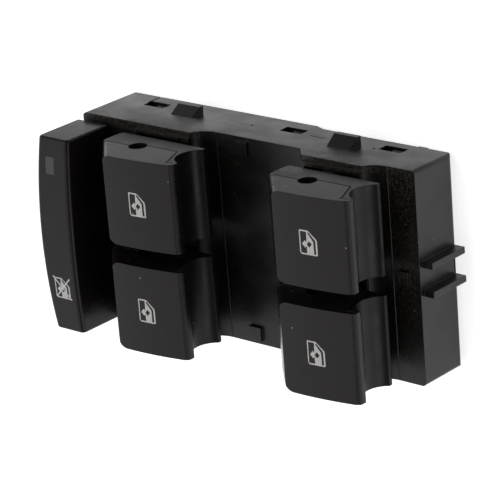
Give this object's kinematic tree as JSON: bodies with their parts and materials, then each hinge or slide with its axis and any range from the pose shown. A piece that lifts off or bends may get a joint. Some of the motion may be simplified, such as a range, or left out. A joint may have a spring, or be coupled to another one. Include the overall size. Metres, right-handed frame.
{
  "type": "power window switch",
  "caption": "Door switch with pull-up rockers in two columns, each turning on pins over sliding contacts, a long push button that locks windows, and a snap-in housing",
  "frame": {"origin": "centre of the part's length and width, on the plane of its rear face", "axes": "+X runs along the housing away from the lock button, +Y across it towards the indicator lens end, +Z out of the rocker faces"},
  "size_m": [0.1202, 0.066, 0.0424],
  "materials": {
    "housing_plastic": "satin",
    "cap_plastic": "satin",
    "carrier_plastic": "satin",
    "lens_plastic": "gloss",
    "slider_plastic": "matte",
    "guide_plastic": "clear",
    "board": "solder mask",
    "pin_metal": "plated",
    "can_metal": "bright",
    "led_plastic": "gloss",
    "chip_plastic": "matte"
  },
  "bodies": {
    "base": {"housing": "housing_plastic", "rear_cover": "housing_plastic", "circuit_board": "board", "connector_header": "housing_plastic", "connector_pins": "pin_metal", "lock_switch_body": "chip_plastic", "icon_leds": "led_plastic", "indicator_led": "led_plastic", "microcontroller": "chip_plastic", "capacitors": "can_metal", "chip_parts": "chip_plastic", "light_guide_1": "guide_plastic", "light_guide_2": "guide_plastic", "light_guide_3": "guide_plastic", "light_guide_4": "guide_plastic"},
    "rocker_1": {"rocker_carrier_1": "carrier_plastic", "rocker_cap_1": "cap_plastic"},
    "slider_1": {"contact_slider_1": "slider_plastic"},
    "rocker_2": {"rocker_carrier_2": "carrier_plastic", "rocker_cap_2": "cap_plastic"},
    "slider_2": {"contact_slider_2": "slider_plastic"},
    "rocker_3": {"rocker_carrier_3": "carrier_plastic", "rocker_cap_3": "cap_plastic"},
    "slider_3": {"contact_slider_3": "slider_plastic"},
    "rocker_4": {"rocker_carrier_4": "carrier_plastic", "rocker_cap_4": "cap_plastic"},
    "slider_4": {"contact_slider_4": "slider_plastic"},
    "lock": {"lock_button": "cap_plastic", "indicator_lens": "lens_plastic", "lock_plunger": "slider_plastic"}
  },
  "joints": [
    {"name": "rocker_1_tilt", "type": "hinge", "parent": "base", "child": "rocker_1", "pos_m": [-0.0272, 0.0155, 0.0321], "axis": [0, 1, 0], "range_deg": [-8, 8], "stiffness_Nm_per_rad": 0.35},
    {"name": "slider_1_slide", "type": "slide", "parent": "base", "child": "slider_1", "axis": [1, 0, 0], "range_m": [-0.0027, 0.0027]},
    {"name": "rocker_2_tilt", "type": "hinge", "parent": "base", "child": "rocker_2", "pos_m": [-0.0272, -0.0155, 0.0321], "axis": [0, 1, 0], "range_deg": [-8, 8], "stiffness_Nm_per_rad": 0.35},
    {"name": "slider_2_slide", "type": "slide", "parent": "base", "child": "slider_2", "axis": [1, 0, 0], "range_m": [-0.0027, 0.0027]},
    {"name": "rocker_3_tilt", "type": "hinge", "parent": "base", "child": "rocker_3", "pos_m": [0.0327, 0.0155, 0.0321], "axis": [0, 1, 0], "range_deg": [-8, 8], "stiffness_Nm_per_rad": 0.35},
    {"name": "slider_3_slide", "type": "slide", "parent": "base", "child": "slider_3", "axis": [1, 0, 0], "range_m": [-0.0027, 0.0027]},
    {"name": "rocker_4_tilt", "type": "hinge", "parent": "base", "child": "rocker_4", "pos_m": [0.0327, -0.0155, 0.0321], "axis": [0, 1, 0], "range_deg": [-8, 8], "stiffness_Nm_per_rad": 0.35},
    {"name": "slider_4_slide", "type": "slide", "parent": "base", "child": "slider_4", "axis": [1, 0, 0], "range_m": [-0.0027, 0.0027]},
    {"name": "lock_press", "type": "slide", "parent": "base", "child": "lock", "axis": [0, 0, -1], "range_m": [0, 0.0016], "stiffness_N_per_m": 500, "springref_m": -0.001}
  ],
  "couplings": [
    {"joint": "slider_1_slide", "follows": "rocker_1_tilt", "m_per_rad": -0.019},
    {"joint": "slider_2_slide", "follows": "rocker_2_tilt", "m_per_rad": -0.019},
    {"joint": "slider_3_slide", "follows": "rocker_3_tilt", "m_per_rad": -0.019},
    {"joint": "slider_4_slide", "follows": "rocker_4_tilt", "m_per_rad": -0.019}
  ]
}
